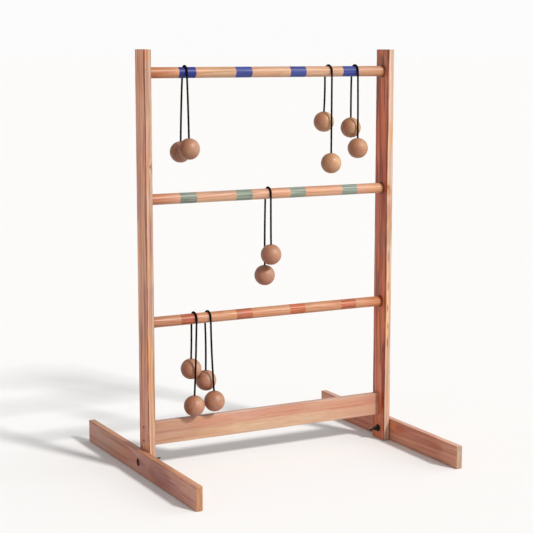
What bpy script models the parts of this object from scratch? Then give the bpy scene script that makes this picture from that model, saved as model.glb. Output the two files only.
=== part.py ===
"""Ladder toss frame: two uprights on bolted feet, three rungs, a rail and six hanging bolas.

+X runs along the rungs, +Y to the back, +Z up. The origin is on the ground, midway between the
uprights. Everything is in metres.
"""

import math

import bmesh
import bpy
from mathutils import Matrix, Quaternion, Vector

# Frame boards, all cut from the same planed stock.
HEIGHT = 0.970
INNER_WIDTH = 0.620
BOARD_WIDTH = 0.055
BOARD_THICKNESS = 0.0165
BOARD_EDGE = 0.002
FOOT_LENGTH = 0.630
UPRIGHT_LIFT = 0.001
RAIL_BOTTOM = 0.063
RAIL_FRONT = -0.002
FIT_GAP = 0.0003

# Rungs.
RUNG_RADIUS = 0.0125
RUNG_HEIGHTS = {"bottom": 0.352, "middle": 0.634, "top": 0.918}
RUNG_SOCKET_DEPTH = 0.010

# Foot bolts, washers and wing nuts (M6).
BOLT_RADIUS = 0.003
BOLT_HOLE_RADIUS = 0.0033
BOLT_HEIGHT = 0.0275
BOLT_TIP = 0.0155
BOLT_HEAD_RADIUS = 0.008
BOLT_HEAD_HEIGHT = 0.004
COUNTERBORE_RADIUS = 0.0088
COUNTERBORE_DEPTH = 0.0055
WASHER_RADIUS = 0.009
WASHER_THICKNESS = 0.0016
NUT_LENGTH = 0.009
NUT_BASE_RADIUS = 0.0075
NUT_TOP_RADIUS = 0.0055
NUT_TURN = math.radians(30)
WING_THICKNESS = 0.003

# Countersunk screws that hold the rail through the uprights.
SCREW_Y = 0.0035
SCREW_HEIGHTS = {"lower": 0.0755, "upper": 0.1075}
SCREW_HEAD_RADIUS = 0.0038
SCREW_SHANK_RADIUS = 0.002
SCREW_SINK = 0.0010
SCREW_LENGTH = 0.040

# Bolas: two bored balls on one cord, with a knot in a recess under each ball.
BALL_RADIUS = 0.0245
BALL_BORE_RADIUS = 0.0027
KNOT_RECESS_RADIUS = 0.0065
KNOT_RECESS_FLOOR = 0.0125
KNOT_RADIUS = 0.0052
CORD_RADIUS = 0.0021
CORD_LOOP_RADIUS = RUNG_RADIUS + CORD_RADIUS + FIT_GAP

# Each bola: its rung, then for the front and the back ball the ball's x, its drop below the rung,
# its distance from the rung's middle plane, x where its string meets the rung, and how far the
# string bows along x halfway down.
BOLAS = {
    "bola_1": ("top", (-0.2181, 0.171, 0.0243, -0.2183, 0.0004), (-0.218, 0.1805, 0.0243, -0.2159, -0.0006)),
    "bola_2": ("top", (0.159, 0.217, 0.0149, 0.1595, 0.0002), (0.1553, 0.1195, 0.0149, 0.1577, 0.001)),
    "bola_3": ("top", (0.233, 0.1835, 0.0149, 0.2315, 0.0005), (0.2308, 0.1355, 0.0149, 0.2321, -0.0005)),
    "bola_4": ("middle", (-0.0036, 0.143, 0.0149, -0.0042, -0.0002), (-0.005, 0.196, 0.0149, -0.003, -0.0008)),
    "bola_5": ("bottom", (-0.206, 0.2035, 0.0149, -0.1988, 0.0008), (-0.1999, 0.122, 0.0149, -0.1981, 0.0005)),
    "bola_6": ("bottom", (-0.154, 0.198, 0.0149, -0.1625, -0.0012), (-0.1616, 0.1535, 0.0149, -0.1633, 0.001)),
}

# Faceting.
RUNG_SIDES = 32
BOLT_SIDES = 16
BALL_STEPS = 16
BALL_ARC_STEPS = 8
CORD_SPACING = 0.012

HALF_INNER = INNER_WIDTH / 2
UPRIGHT_OUTER = HALF_INNER + BOARD_THICKNESS
FOOT_OUTER = UPRIGHT_OUTER + FIT_GAP + BOARD_THICKNESS
ALONG_X = Matrix.Rotation(math.pi / 2, 4, "Y")

MATERIALS = {
    "pine": ((0.60, 0.36, 0.23), 0.5, 0.0),
    "dowel": ((0.66, 0.42, 0.27), 0.4, 0.0),
    "ball_wood": ((0.56, 0.30, 0.19), 0.45, 0.0),
    "black_steel": ((0.02, 0.02, 0.02), 0.4, 0.9),
    "steel": ((0.45, 0.45, 0.43), 0.35, 1.0),
    "cord": ((0.012, 0.010, 0.012), 0.9, 0.0),
}


def clear_scene():
    for item in list(bpy.data.objects):
        bpy.data.objects.remove(item)


def new_collection(name):
    collection = bpy.data.collections.new(name)
    bpy.context.scene.collection.children.link(collection)
    return collection


def new_material(name):
    color, roughness, metallic = MATERIALS[name]
    material = bpy.data.materials.new(name)
    material.use_nodes = True
    shader = material.node_tree.nodes["Principled BSDF"]
    shader.inputs["Base Color"].default_value = (*color, 1.0)
    shader.inputs["Roughness"].default_value = roughness
    shader.inputs["Metallic"].default_value = metallic
    return material


def place(name, mesh, material, location=(0, 0, 0), rotation=None):
    """Puts a mesh in the parts collection as one named piece."""
    piece = bpy.data.objects.new(name, mesh)
    PARTS.objects.link(piece)
    piece.location = location
    piece.rotation_mode = "QUATERNION"
    piece.rotation_quaternion = rotation or Quaternion()
    mesh.materials.append(material)
    return piece


def mesh_from(name, make):
    """A new mesh filled by make, which draws into a bmesh."""
    drawing = bmesh.new()
    make(drawing)
    mesh = bpy.data.meshes.new(name)
    drawing.to_mesh(mesh)
    drawing.free()
    return mesh


def smooth_round(mesh):
    mesh.shade_smooth()
    mesh.set_sharp_from_angle(angle=math.radians(35))


def board(name, size, centre, material):
    """A planed board with slightly rounded edges."""
    matrix = Matrix.Diagonal((*size, 1.0))
    mesh = mesh_from(name, lambda b: bmesh.ops.create_cube(b, size=1.0, matrix=matrix))
    piece = place(name, mesh, material, centre)
    bevel = piece.modifiers.new("edges", "BEVEL")
    bevel.width = BOARD_EDGE
    bevel.segments = 2
    return piece


def rod_mesh(name, radius, length, sides):
    """A cylinder along X, centred on its own origin."""
    return mesh_from(name, lambda b: bmesh.ops.create_cone(
        b, cap_ends=True, segments=sides, radius1=radius, radius2=radius, depth=length,
        matrix=ALONG_X))


def turned_mesh(name, profile, steps, closed=False):
    """A profile of (radius, height) points, turned about Z. It runs down its outer side."""
    outline = bpy.data.meshes.new(name + "_profile")
    points = [(radius, 0, height) for radius, height in profile]
    edges = [(i, i + 1) for i in range(len(points) - 1)]
    if closed:
        edges.append((len(points) - 1, 0))
    outline.from_pydata(points, edges, [])
    helper = bpy.data.objects.new(name + "_profile", outline)
    bpy.context.scene.collection.objects.link(helper)
    screw = helper.modifiers.new("turn", "SCREW")
    screw.steps = steps
    screw.render_steps = steps
    screw.use_merge_vertices = True
    screw.merge_threshold = 0.00001
    mesh = evaluated_mesh(helper)
    bpy.data.objects.remove(helper)
    mesh.name = name
    smooth_round(mesh)
    return mesh


def evaluated_mesh(source):
    graph = bpy.context.evaluated_depsgraph_get()
    return bpy.data.meshes.new_from_object(source.evaluated_get(graph))


def cutter(name, mesh, location, rotation=None):
    """A hidden shape that a Boolean takes away."""
    shape = bpy.data.objects.new(name, mesh)
    CUTTERS.objects.link(shape)
    shape.location = location
    shape.rotation_mode = "QUATERNION"
    shape.rotation_quaternion = rotation or Quaternion()
    shape.hide_render = True
    shape.display_type = "WIRE"
    return shape


def combine(piece, other, operation):
    modifier = piece.modifiers.new(other.name, "BOOLEAN")
    modifier.operation = operation
    modifier.object = other


def outward(side):
    """Turns a shape's own +Z to the outside of the frame, on the side -1 or +1."""
    return Quaternion((0, 1, 0), side * math.pi / 2)


def screw_profile(clearance):
    """A countersunk screw, or with a clearance the hole that it needs. Height 0 is the wood's face."""
    head = SCREW_HEAD_RADIUS + clearance
    shank = SCREW_SHANK_RADIUS + clearance
    top = clearance * 10 - SCREW_SINK
    neck = -SCREW_SINK - (SCREW_HEAD_RADIUS - SCREW_SHANK_RADIUS) - clearance
    tip = -SCREW_LENGTH - clearance
    return [(0, top), (head, top), (head, -SCREW_SINK), (shank, neck), (shank, tip + 0.004), (0, tip)]


def add_frame_boards():
    """The uprights, the feet outside them and the rail between them, with their holes."""
    upright_size = (BOARD_THICKNESS, BOARD_WIDTH, HEIGHT - UPRIGHT_LIFT)
    foot_size = (BOARD_THICKNESS, FOOT_LENGTH, BOARD_WIDTH)
    rail_size = (INNER_WIDTH - 2 * FIT_GAP, BOARD_THICKNESS, BOARD_WIDTH)
    rail_centre = (0, RAIL_FRONT + BOARD_THICKNESS / 2, RAIL_BOTTOM + BOARD_WIDTH / 2)
    rail = board("bottom_rail", rail_size, rail_centre, PAINT["pine"])

    bolt_hole = rod_mesh("bolt_hole", BOLT_HOLE_RADIUS, 0.1, BOLT_SIDES)
    counterbore = rod_mesh("counterbore", COUNTERBORE_RADIUS, 2 * COUNTERBORE_DEPTH, RUNG_SIDES)
    socket = rod_mesh("rung_socket", RUNG_RADIUS + FIT_GAP, 2 * RUNG_SOCKET_DEPTH, RUNG_SIDES)
    screw_hole = turned_mesh("screw_hole", screw_profile(FIT_GAP), BOLT_SIDES)

    for label, side in SIDES.items():
        upright_x = side * (HALF_INNER + BOARD_THICKNESS / 2)
        foot_x = side * (FOOT_OUTER - BOARD_THICKNESS / 2)
        upright_z = UPRIGHT_LIFT + upright_size[2] / 2
        upright = board(label + "_upright", upright_size, (upright_x, 0, upright_z), PAINT["pine"])
        foot = board(label + "_foot", foot_size, (foot_x, 0, BOARD_WIDTH / 2), PAINT["pine"])

        hole = cutter(label + "_bolt_hole", bolt_hole, (side * UPRIGHT_OUTER, 0, BOLT_HEIGHT))
        combine(upright, hole, "DIFFERENCE")
        combine(foot, hole, "DIFFERENCE")
        seat = cutter(label + "_counterbore", counterbore, (side * FOOT_OUTER, 0, BOLT_HEIGHT))
        combine(foot, seat, "DIFFERENCE")

        for rung, height in RUNG_HEIGHTS.items():
            hole = cutter(f"{label}_{rung}_socket", socket, (side * HALF_INNER, 0, height))
            combine(upright, hole, "DIFFERENCE")

        for level, height in SCREW_HEIGHTS.items():
            spot = (side * UPRIGHT_OUTER, SCREW_Y, height)
            hole = cutter(f"{label}_{level}_screw_hole", screw_hole, spot, outward(side))
            combine(upright, hole, "DIFFERENCE")
            combine(rail, hole, "DIFFERENCE")


def add_rungs():
    length = INNER_WIDTH + 2 * (RUNG_SOCKET_DEPTH - FIT_GAP)
    for rung, height in RUNG_HEIGHTS.items():
        mesh = rod_mesh(rung + "_rung", RUNG_RADIUS, length, RUNG_SIDES)
        smooth_round(mesh)
        place(rung + "_rung", mesh, PAINT["dowel"], (0, 0, height))


def bolt_mesh():
    """A domed bolt. Height 0 is the underside of its head."""
    tip = HALF_INNER - BOLT_TIP - (FOOT_OUTER - COUNTERBORE_DEPTH + FIT_GAP)
    rise = [math.radians(angle) for angle in (90, 60, 30, 0)]
    dome = [(BOLT_HEAD_RADIUS * math.cos(a), BOLT_HEAD_HEIGHT * (0.3 + 0.7 * math.sin(a))) for a in rise]
    shank = [(BOLT_HEAD_RADIUS, 0), (BOLT_RADIUS, 0), (BOLT_RADIUS, tip + 0.001), (0.0022, tip), (0, tip)]
    dome[0] = (0, BOLT_HEAD_HEIGHT)
    return turned_mesh("foot_bolt", dome + shank, BOLT_SIDES)


def washer_mesh():
    """Height 0 is the face against the upright; it reaches inward, to -Z."""
    inner = BOLT_HOLE_RADIUS
    low = -WASHER_THICKNESS
    profile = [(inner, 0), (WASHER_RADIUS, 0), (WASHER_RADIUS, low), (inner, low)]
    return turned_mesh("washer", profile, BOLT_SIDES, closed=True)


def wing_object(name, angle):
    """One wing, a flat outline stood on edge beside the nut's axis and turned about it."""
    outline = bpy.data.curves.new(name, "CURVE")
    outline.dimensions = "2D"
    outline.fill_mode = "BOTH"
    outline.extrude = WING_THICKNESS / 2
    outline.resolution_u = 3
    spline = outline.splines.new("BEZIER")
    shape = [(0.0042, 0.0010), (0.0100, 0.0040), (0.0158, 0.0120), (0.0125, 0.0165), (0.0042, 0.0080)]
    spline.bezier_points.add(len(shape) - 1)
    for point, (reach, rise) in zip(spline.bezier_points, shape):
        point.co = (reach, -rise, 0)
        point.handle_left_type = "AUTO"
        point.handle_right_type = "AUTO"
    spline.use_cyclic_u = True
    curve = bpy.data.objects.new(name, outline)
    bpy.context.scene.collection.objects.link(curve)
    mesh = evaluated_mesh(curve)
    bpy.data.objects.remove(curve)
    drawing = bmesh.new()
    drawing.from_mesh(mesh)
    bmesh.ops.remove_doubles(drawing, verts=drawing.verts, dist=0.00001)
    drawing.transform(Matrix.Rotation(angle, 4, "Z") @ Matrix.Rotation(math.pi / 2, 4, "X"))
    drawing.to_mesh(mesh)
    drawing.free()
    return cutter(name, mesh, (0, 0, 0))


def wing_nut_mesh():
    """Height 0 is the face against the washer; it reaches inward, to -Z."""
    bore = BOLT_HOLE_RADIUS
    profile = [
        (bore, 0), (NUT_BASE_RADIUS, 0), (NUT_BASE_RADIUS, -0.002), (NUT_TOP_RADIUS, -0.004),
        (NUT_TOP_RADIUS, 0.001 - NUT_LENGTH), (NUT_TOP_RADIUS - 0.001, -NUT_LENGTH), (bore, -NUT_LENGTH)]
    hub_mesh = turned_mesh("wing_nut_hub", profile, BOLT_SIDES, closed=True)
    hub = cutter("wing_nut_hub", hub_mesh, (0, 0, 0))
    for number, angle in enumerate((0, math.pi)):
        combine(hub, wing_object(f"wing_{number}", angle), "UNION")
    return evaluated_mesh(hub)


def add_fasteners():
    bolt = bolt_mesh()
    washer = washer_mesh()
    nut = wing_nut_mesh()
    screw = turned_mesh("rail_screw", screw_profile(0), BOLT_SIDES)
    head_x = FOOT_OUTER - COUNTERBORE_DEPTH + FIT_GAP
    washer_x = HALF_INNER - FIT_GAP
    nut_x = washer_x - WASHER_THICKNESS - FIT_GAP
    for label, side in SIDES.items():
        turn = outward(side)
        nut_turn = Quaternion((1, 0, 0), math.pi / 2 - NUT_TURN) @ turn
        place(label + "_foot_bolt", bolt.copy(), PAINT["black_steel"], (side * head_x, 0, BOLT_HEIGHT), turn)
        place(label + "_washer", washer.copy(), PAINT["black_steel"], (side * washer_x, 0, BOLT_HEIGHT), turn)
        place(label + "_wing_nut", nut.copy(), PAINT["black_steel"], (side * nut_x, 0, BOLT_HEIGHT), nut_turn)
        for level, height in SCREW_HEIGHTS.items():
            spot = (side * UPRIGHT_OUTER, SCREW_Y, height)
            place(f"{label}_{level}_rail_screw", screw.copy(), PAINT["steel"], spot, turn)


def ball_mesh():
    """A ball bored along Z, with a recess for the knot in its lower end."""
    top_angle = math.acos(BALL_BORE_RADIUS / BALL_RADIUS)
    low_angle = -math.acos(KNOT_RECESS_RADIUS / BALL_RADIUS)
    profile = []
    for step in range(BALL_ARC_STEPS + 1):
        angle = top_angle + (low_angle - top_angle) * step / BALL_ARC_STEPS
        profile.append((BALL_RADIUS * math.cos(angle), BALL_RADIUS * math.sin(angle)))
    profile.append((KNOT_RECESS_RADIUS, -KNOT_RECESS_FLOOR))
    profile.append((BALL_BORE_RADIUS, -KNOT_RECESS_FLOOR))
    return turned_mesh("ball", profile, BALL_STEPS, closed=True)


def knot_mesh():
    return mesh_from("knot", lambda b: bmesh.ops.create_uvsphere(
        b, u_segments=8, v_segments=6, radius=KNOT_RADIUS))


def smooth_route(points, spacing):
    """Points about one spacing apart, on a smooth curve through the route's own points."""
    padded = [2 * points[0] - points[1], *points, 2 * points[-1] - points[-2]]
    route = []
    for before, start, end, after in zip(padded, padded[1:], padded[2:], padded[3:]):
        count = max(2, round((end - start).length / spacing))
        for step in range(count):
            t = step / count
            drift = (end - before) * t + (2 * before - 5 * start + 4 * end - after) * t * t
            curl = (3 * (start - end) + after - before) * t ** 3
            route.append(start + (drift + curl) / 2)
    route.append(points[-1])
    return route


def bola_side(bola, side):
    """The ball's centre, the point beside the rung its string hangs from, and the string's bow."""
    rung, front, back = BOLAS[bola]
    x, drop, out, rung_x, bow = front if side < 0 else back
    centre = Vector((x, side * out, RUNG_HEIGHTS[rung] - drop))
    tangent = Vector((rung_x, side * CORD_LOOP_RADIUS, RUNG_HEIGHTS[rung]))
    return centre, tangent, bow


def string_route(bola, side):
    """One string's own points, from its knot up to just below the side of the rung."""
    centre, tangent, bow = bola_side(bola, side)
    up = (tangent - centre).normalized()
    points = [centre - up * KNOT_RECESS_FLOOR, centre, centre + up * BALL_RADIUS]
    start = points[-1]
    for part in (0.25, 0.5, 0.75):
        sway = Vector((bow * math.sin(math.pi * part), 0, 0))
        points.append(start.lerp(tangent, part) + sway)
    return points


def cord_route(bola):
    """The whole cord's own points: up the front string, over the rung and down the back one."""
    _, front, _ = bola_side(bola, -1)
    _, back, _ = bola_side(bola, 1)
    loop = []
    for degrees in range(0, 181, 30):
        angle = math.radians(degrees)
        spot = front.lerp(back, degrees / 180)
        spot.y = -CORD_LOOP_RADIUS * math.cos(angle)
        spot.z += CORD_LOOP_RADIUS * math.sin(angle)
        loop.append(spot)
    return string_route(bola, -1) + loop + string_route(bola, 1)[::-1]


def add_cord(name, route):
    curve = bpy.data.curves.new(name, "CURVE")
    curve.dimensions = "3D"
    curve.bevel_depth = CORD_RADIUS
    curve.bevel_resolution = 2
    curve.use_fill_caps = True
    spline = curve.splines.new("POLY")
    spline.points.add(len(route) - 1)
    for point, spot in zip(spline.points, route):
        point.co = (*spot, 1.0)
    curve.materials.append(PAINT["cord"])
    PARTS.objects.link(bpy.data.objects.new(name, curve))


def add_bolas():
    ball = ball_mesh()
    knot = knot_mesh()
    for bola in BOLAS:
        add_cord(bola + "_cord", smooth_route(cord_route(bola), CORD_SPACING))
        for label, side in (("front", -1), ("back", 1)):
            centre, tangent, _ = bola_side(bola, side)
            up = (tangent - centre).normalized()
            turn = up.to_track_quat("Z", "Y")
            place(f"{bola}_{label}_ball", ball.copy(), PAINT["ball_wood"], centre, turn)
            knot_spot = centre - up * (KNOT_RECESS_FLOOR + FIT_GAP + KNOT_RADIUS)
            place(f"{bola}_{label}_knot", knot.copy(), PAINT["cord"], knot_spot, turn)


SIDES = {"left": -1, "right": 1}
clear_scene()
PARTS = new_collection("ladder_toss_frame")
CUTTERS = new_collection("cutters")
PAINT = {name: new_material(name) for name in MATERIALS}
add_frame_boards()
add_rungs()
add_fasteners()
add_bolas()
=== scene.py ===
"""Looks of the ladder toss frame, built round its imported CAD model. Everything is in metres.

+X runs along the rungs, +Y to the back, +Z up. The origin is on the ground between the uprights.
"""

import math
import random

import bmesh
import bpy
from mathutils import Matrix, Quaternion, Vector


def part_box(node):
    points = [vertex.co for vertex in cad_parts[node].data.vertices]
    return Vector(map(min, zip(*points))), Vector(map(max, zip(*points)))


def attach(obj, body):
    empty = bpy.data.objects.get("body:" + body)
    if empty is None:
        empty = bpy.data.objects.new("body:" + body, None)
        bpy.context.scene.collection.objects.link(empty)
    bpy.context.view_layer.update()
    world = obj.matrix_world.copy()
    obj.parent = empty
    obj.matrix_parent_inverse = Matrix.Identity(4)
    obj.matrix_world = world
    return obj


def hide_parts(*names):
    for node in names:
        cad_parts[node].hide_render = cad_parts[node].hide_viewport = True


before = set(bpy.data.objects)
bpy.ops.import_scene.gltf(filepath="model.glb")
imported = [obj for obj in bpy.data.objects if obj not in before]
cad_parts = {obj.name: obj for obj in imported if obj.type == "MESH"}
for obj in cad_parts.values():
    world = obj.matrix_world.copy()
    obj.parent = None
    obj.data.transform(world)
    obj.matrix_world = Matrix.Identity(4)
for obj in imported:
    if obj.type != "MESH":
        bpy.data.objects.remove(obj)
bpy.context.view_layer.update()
SIDES = {"left": -1, "right": 1}
ENDS = {"front": -1, "back": 1}
MM = 0.001


# ---- sizes, as in part.py

FIT_GAP = 0.0003
BOARD_EDGE = 0.002
RUNG_RADIUS = 0.0125
RUNG_HEIGHTS = {"bottom": 0.352, "middle": 0.634, "top": 0.918}
RUNG_SOCKET_DEPTH = 0.01
BAND_PITCH = 0.1428
BAND_WIDTH = 0.042

BOLT_RADIUS = 0.003
BOLT_HEAD_RADIUS = 0.008
BOLT_HEAD_RISE = 0.004
BOLT_HOLE_RADIUS = 0.0033
BOLT_HEIGHT = 0.0275
COUNTERBORE_RADIUS = 0.0088
COUNTERBORE_DEPTH = 0.0055
WING_THICKNESS = 0.003
NUT_TURN = math.radians(30)

SCREW_Y = 0.0035
SCREW_HEIGHTS = {"lower": 0.0755, "upper": 0.1075}
SCREW_HEAD_RADIUS = 0.0038
SCREW_SHANK_RADIUS = 0.002
SCREW_SINK = 0.001

BALL_RADIUS = 0.0245
BALL_BORE_RADIUS = 0.0027
KNOT_RECESS_RADIUS = 0.0065
KNOT_RECESS_FLOOR = 0.0125
KNOT_RADIUS = 0.0052
CORD_RADIUS = 0.0021
CORD_LOOP_RADIUS = RUNG_RADIUS + CORD_RADIUS + FIT_GAP

# Each bola: its rung, its balls' distance from the rung's middle plane, then for the front and the
# back ball the ball's x, its drop below the rung, x where its string meets the rung, and how far
# the string bows along x halfway down.
BOLAS = {
    "bola_1": ("top", 0.0243, (-0.2181, 0.171, -0.2183, 0.0004), (-0.218, 0.1805, -0.2159, -0.0006)),
    "bola_2": ("top", 0.0149, (0.159, 0.217, 0.1595, 0.0002), (0.1553, 0.1195, 0.1577, 0.001)),
    "bola_3": ("top", 0.0149, (0.233, 0.1835, 0.2315, 0.0005), (0.2308, 0.1355, 0.2321, -0.0005)),
    "bola_4": ("middle", 0.0149, (-0.0036, 0.143, -0.0042, -0.0002), (-0.005, 0.196, -0.003, -0.0008)),
    "bola_5": ("bottom", 0.0149, (-0.206, 0.2035, -0.1988, 0.0008), (-0.1999, 0.122, -0.1981, 0.0005)),
    "bola_6": ("bottom", 0.0149, (-0.154, 0.198, -0.1625, -0.0012), (-0.1616, 0.1535, -0.1633, 0.001)),
}


# ---- objects

def linked(name, data):
    """A new object in the scene."""
    made = bpy.data.objects.new(name, data)
    bpy.context.scene.collection.objects.link(made)
    return made


def stand(thing, spot, up, spin=0.0):
    """Puts a thing at a spot, its own +Z along up, and spun about it. Hands back the rotation."""
    turn = up.to_track_quat("Z", "Y") @ Quaternion((0, 0, 1), spin)
    thing.location = spot
    thing.rotation_mode = "QUATERNION"
    thing.rotation_quaternion = turn
    return turn


def reach(node):
    """Where a CAD node begins and ends, outward from the frame's middle."""
    return sorted(abs(corner.x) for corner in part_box(node))


def add_camera():
    """Stands to the left of the frame, just under the uprights' tops, and looks slightly down."""
    data = bpy.data.cameras.new("camera")
    data.sensor_width = 36.0
    data.lens = 96.5
    camera = linked("camera", data)
    camera.location = (-1.575, -2.961, 0.9655)
    camera.rotation_euler = (math.radians(90 - 8.568), 0, math.radians(-27.89))
    bpy.context.scene.camera = camera


# ---- materials

SPECULAR = "Specular IOR Level"


class Nodes:
    """A node tree under construction: each call adds nodes and hands back an output socket."""

    def __init__(self, tree):
        self.tree = tree

    def node(self, kind, inputs, output=0, **settings):
        made = self.tree.nodes.new("ShaderNode" + kind)
        for name, value in settings.items():
            setattr(made, name, value)
        for key, value in inputs.items():
            if isinstance(value, bpy.types.NodeSocket):
                self.tree.links.new(value, made.inputs[key])
            else:
                made.inputs[key].default_value = value
        return made.outputs[output]

    def math(self, operation, *values):
        return self.node("Math", dict(enumerate(values)), operation=operation)

    def scaled(self, value, factor, offset=0.0):
        return self.math("MULTIPLY_ADD", value, factor, offset)

    def apart(self, value, middle):
        """How far the value is from the middle, to either side."""
        return self.math("ABSOLUTE", self.math("SUBTRACT", value, middle))

    def step(self, value, low, high, start=0.0, end=1.0):
        """Goes smoothly from start to end as the value goes from low to high."""
        inputs = {"Value": value, "From Min": low, "From Max": high, "To Min": start, "To Max": end}
        return self.node("MapRange", inputs, interpolation_type="SMOOTHSTEP")

    def join(self, x, y, z):
        return self.node("CombineXYZ", {0: x, 1: y, 2: z})

    def parts(self, kind, whole):
        split = self.tree.nodes.new("ShaderNode" + kind)
        self.tree.links.new(whole, split.inputs[0])
        return list(split.outputs)

    def place(self):
        """The surface point in the piece's own space."""
        return self.node("TexCoord", {}, output="Object")

    def point(self):
        """The same as three sockets."""
        return self.parts("SeparateXYZ", self.place())

    def noise(self, vector, scale, detail=2.0, output="Fac"):
        inputs = {"Vector": vector, "Scale": scale, "Detail": detail}
        return self.node("TexNoise", inputs, output=output)

    def vector(self, operation, *values, output="Vector"):
        inputs = dict(enumerate(values))
        return self.node("VectorMath", inputs, output=output, operation=operation)

    def length(self, x, y, z):
        return self.vector("LENGTH", self.join(x, y, z), output="Value")

    def mix(self, factor, first, second, blend="MIX"):
        made = self.tree.nodes.new("ShaderNodeMix")
        made.data_type = "RGBA"
        made.blend_type = blend
        for name, value in (("Factor_Float", factor), ("A_Color", first), ("B_Color", second)):
            socket = next(s for s in made.inputs if s.identifier == name)
            if isinstance(value, bpy.types.NodeSocket):
                self.tree.links.new(value, socket)
            elif name == "Factor_Float":
                socket.default_value = value
            else:
                socket.default_value = (*value, 1.0)
        return next(s for s in made.outputs if s.identifier == "Result_Color")

    def tinted(self, color, factor, tint):
        """The colour, multiplied by the tint as far as the factor says."""
        return self.mix(factor, color, tint, "MULTIPLY")


class Paint(Nodes):
    """A material under construction."""

    def __init__(self, name, plain):
        self.material = bpy.data.materials.new(name)
        self.material.use_nodes = True
        super().__init__(self.material.node_tree)
        self.shader = self.tree.nodes["Principled BSDF"]
        for socket, value in plain.items():
            self.shader.inputs[socket].default_value = value

    def finish(self, color, relief, roughness, bump, strength):
        """Sets colour and bump. Roughness is (low relief, high relief, roughness at each) or None."""
        self.tree.links.new(color, self.shader.inputs["Base Color"])
        if roughness:
            self.tree.links.new(self.step(relief, *roughness), self.shader.inputs["Roughness"])
        if bump:
            inputs = {"Height": relief, "Distance": bump, "Strength": strength}
            self.tree.links.new(self.node("Bump", inputs), self.shader.inputs["Normal"])
        return self.material


WIDE_FACE = -8.5
FRONT_FACE = -27


def on_wide_face(*marks):
    """Marks on a board's wide face, each given as (across, along, half sizes, tint)."""
    return [((WIDE_FACE, across, along), half, tint) for across, along, half, tint in marks]


def on_front_face(*marks):
    """Marks on a board's narrow front face, each given as (through, along, half sizes, tint)."""
    return [((through, FRONT_FACE, along), half, tint) for through, along, half, tint in marks]


# How each board looks: sapwood and heartwood, what the late wood of a growth ring multiplies them
# by, the ring spacing, where the pith lies beside the board's middle and how it leans along it, how
# far the heartwood reaches from its core (the pith, if no core is given), how soft its border is and
# how strong its dark streaks are. A foot's end is the tint of its two sawn ends, and a rung's bands
# are those of its four stained bands. A place is (through the thickness, across the width, along the
# board) from its middle, in mm. A knot is (place, radius), and a mark of another tone is (place,
# half sizes, tint in per cent).
LOOKS = {}
LOOKS["left_upright"] = dict(
    sap=(0.52, 0.36, 0.253), heart=(0.715, 0.362, 0.222), ring=(0.66, 0.47, 0.4), spacing=0.0062,
    pith=(-0.046, 0.022), lean=(0.01, 0.012), core=(-0.3, 0.0), heart_radius=0.2955, blur=0.0028,
    streaks=0.95, seed=3.0, knots=[((2, -27.5, 225), 2.8)],
    marks=on_wide_face(
        (0, 430, (8, 30, 70), (100, 95, 78)), (-21.5, 440, (6, 5, 80), (52, 42, 40)),
        (10, 450, (6, 4.6, 50), (72, 62, 56)), (-16.5, 270, (6, 4.5, 80), (66, 54, 50)),
        (-20.5, 100, (6, 4.5, 90), (55, 46, 44)), (4, 300, (6, 4, 50), (80, 72, 70)),
        (-2, -30, (8, 14, 90), (92, 105, 122)), (18, -130, (8, 8, 70), (104, 84, 64)),
        (13, -190, (6, 5, 90), (42, 32, 30)), (3, -160, (6, 3.6, 50), (62, 54, 54)),
        (0, -330, (8, 40, 120), (95, 88, 98))) + on_front_face(
        (-4, 475, (7, 8, 30), (105, 82, 62)), (0, 390, (20, 8, 90), (90, 95, 102)),
        (-2, 275, (10, 8, 50), (95, 88, 90)), (1, 180, (2.2, 8, 40), (84, 76, 72)),
        (0, 0, (20, 8, 160), (92, 92, 100)), (1.5, 60, (2.4, 8, 60), (84, 78, 76)),
        (-4, -240, (8, 8, 100), (106, 97, 73))))
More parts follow.
